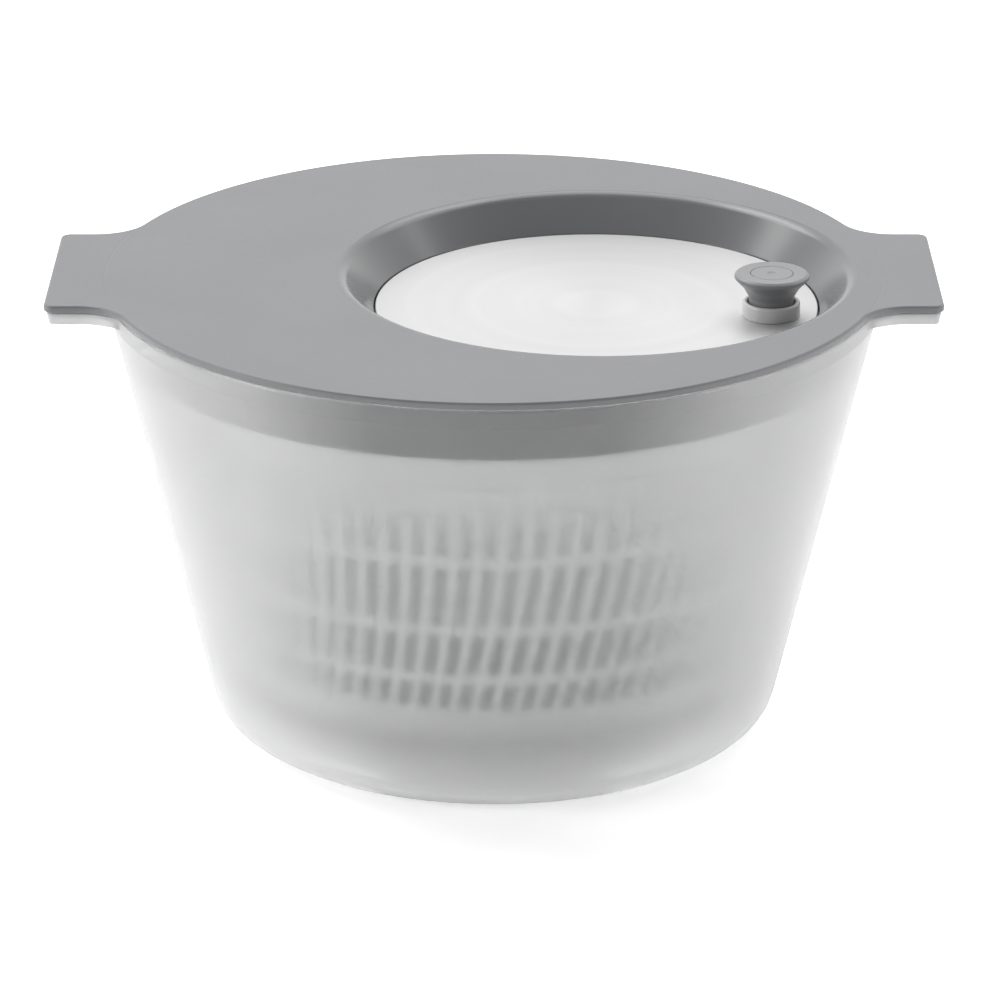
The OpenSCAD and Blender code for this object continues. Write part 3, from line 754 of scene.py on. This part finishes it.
def knob_profile():
    """Half of the knob's section, from its bore down to its neck, up its side and over to the cap's seat."""
    top = high("knob_body").z
    bottom = low("knob_body").z
    disc_top = high("disc_plate").z
    outer = high("knob_body").x - KNOB_AXIS[0]
    seat = top - 1.3
    shelf = top - 4.7
    return rounded([
        (AXLE_HOLE_R, bottom, 0), (KNOB_NECK_R, bottom, 0.5), (KNOB_NECK_R, disc_top + 7, 3),
        (outer * 0.76, top - 5, 6), (outer, top - 1.8, 0.5), (outer, top - 0.8, 0.6),
        (outer - 1, top, 0.8), (CAP_SEAT_R, top - 0.2, 0.2), (CAP_SEAT_R, seat, 0),
        (KNOB_BORE_R, seat, 0), (KNOB_BORE_R, shelf, 0), (AXLE_HOLE_R, shelf, 0),
    ], steps=7)


def build_knob():
    plastic = moulded("knob_satin", (0.18, 0.182, 0.187), 0.42, 0.02).material
    mesh = bmesh.new()
    add_lathe(mesh, knob_profile(), KNOB_AXIS, 120, True)
    add_piece("knob_grip", closed_mesh(mesh, "knob_grip"), "knob", [plastic], ["knob_body"])
    top = high("knob_cap").z
    bottom = low("knob_cap").z
    cap = bmesh.new()
    add_lathe(cap, rounded([
        (0, bottom, 0), (CAP_R, bottom, 0), (CAP_R, top, 0.3), (1.8, top, 0.3),
        (1.2, top - 0.3, 0.1), (0, top - 0.3, 0),
    ], False), KNOB_AXIS, 120)
    add_piece("knob_top", closed_mesh(cap, "knob_top"), "knob", [plastic], ["knob_cap"])


# ---- Nodes that keep their CAD shape ----

def finish_cad_nodes():
    steel = turned_steel()
    ivory = moulded("bearing_plastic", (0.72, 0.7, 0.64), 0.35).material
    inner = moulded("inner_grey_plastic", (0.07, 0.071, 0.073), 0.5).material
    white = moulded("pivot_plastic", (0.8, 0.8, 0.79), 0.4).material
    finishes = {
        steel: ["pivot_pin", "lid_screws", "hub_washer", "hub_screw", "knob_axle", "knob_washer",
                "knob_screw", "pinion_shaft", "drive_washer", "drive_screw"],
        ivory: ["disc_bush", "pinion_bush", "drive_gear", "pinion"],
        inner: ["lid_base", "disc_carrier", "drive_plate"],
        white: ["pivot_cap"],
    }
    for material, nodes in finishes.items():
        for node in nodes:
            data = frame["nodes"][node].data
            data.materials.clear()
            data.materials.append(material)


# ---- Studio ----

def build_floor():
    mesh = bmesh.new()
    add_loft(mesh, [circle((0, 0), r, 0, even(96)) for r in (0, 400, 1500, 6000)])
    data = smooth_mesh(mesh, "floor")
    glow = {"Emission_Color": (1, 1, 1, 1), "Emission_Strength": 0.42}
    data.materials.append(moulded("floor_white", (0.9, 0.9, 0.9), 0.9, 0.0, **glow).material)
    floor = bpy.data.objects.new("floor", data)
    bpy.context.scene.collection.objects.link(floor)


def aim(obj, place, target):
    obj.location = place
    obj.rotation_euler = (Vector(target) - Vector(place)).to_track_quat("-Z", "Y").to_euler()
    bpy.context.scene.collection.objects.link(obj)


def add_softbox(name, place, target, width, height, watts):
    light = bpy.data.lights.new(name, "AREA")
    light.shape = "RECTANGLE"
    light.size = width
    light.size_y = height
    light.energy = watts
    aim(bpy.data.objects.new(name, light), place, target)


def sky_ramp(tree, value, start, finish, new_start, new_finish):
    ramp = tree.nodes.new("ShaderNodeMapRange")
    tree.links.new(value, ramp.inputs[0])
    for socket, number in enumerate((start, finish, new_start, new_finish), 1):
        ramp.inputs[socket].default_value = number
    return ramp.outputs[0]


def build_studio():
    world = bpy.data.worlds.new("studio")
    bpy.context.scene.world = world
    world.use_nodes = True
    tree = world.node_tree
    background = tree.nodes["Background"]
    place = tree.nodes.new("ShaderNodeTexCoord")
    axes = tree.nodes.new("ShaderNodeSeparateXYZ")
    tree.links.new(place.outputs["Generated"], axes.inputs[0])
    back = sky_ramp(tree, axes.outputs["Y"], -0.3, 0.7, 0.0, 0.85)
    low_sky = sky_ramp(tree, axes.outputs["Z"], 0.2, 0.6, 0.5, 0.15)
    total = tree.nodes.new("ShaderNodeMath")
    tree.links.new(back, total.inputs[0])
    tree.links.new(low_sky, total.inputs[1])
    tree.links.new(total.outputs[0], background.inputs["Strength"])
    background.inputs["Color"].default_value = (1, 1, 1, 1)
    add_softbox("key", (-1.3, 0.9, 1.9), (0, 0, 0.1), 1.3, 1.3, 26)
    add_softbox("fill", (1.3, 0.9, 1.9), (0, 0, 0.1), 1.3, 1.3, 12)
    add_softbox("top", (0, 0.75, 1.5), (0, 0, 0.15), 1.5, 1.2, 14)
    add_softbox("left", (-1.95, -0.6, 0.7), (0, 0, 0.08), 1.0, 1.0, 21)
    add_softbox("right", (1.95, -0.6, 0.7), (0, 0, 0.08), 1.0, 1.0, 12)
    bpy.context.scene.view_settings.view_transform = "Standard"


def build_camera():
    camera = bpy.data.cameras.new("camera")
    camera.lens = 177.2
    camera.sensor_width = 36
    obj = bpy.data.objects.new("camera", camera)
    aim(obj, (0.00209, -1.63817, 0.71804), (0.00209, 0, 0.07738))
    bpy.context.scene.camera = obj


build_camera()
build_studio()
build_floor()
build_bowl()
build_basket()
build_lid()
build_disc()
build_collar()
build_knob()
finish_cad_nodes()
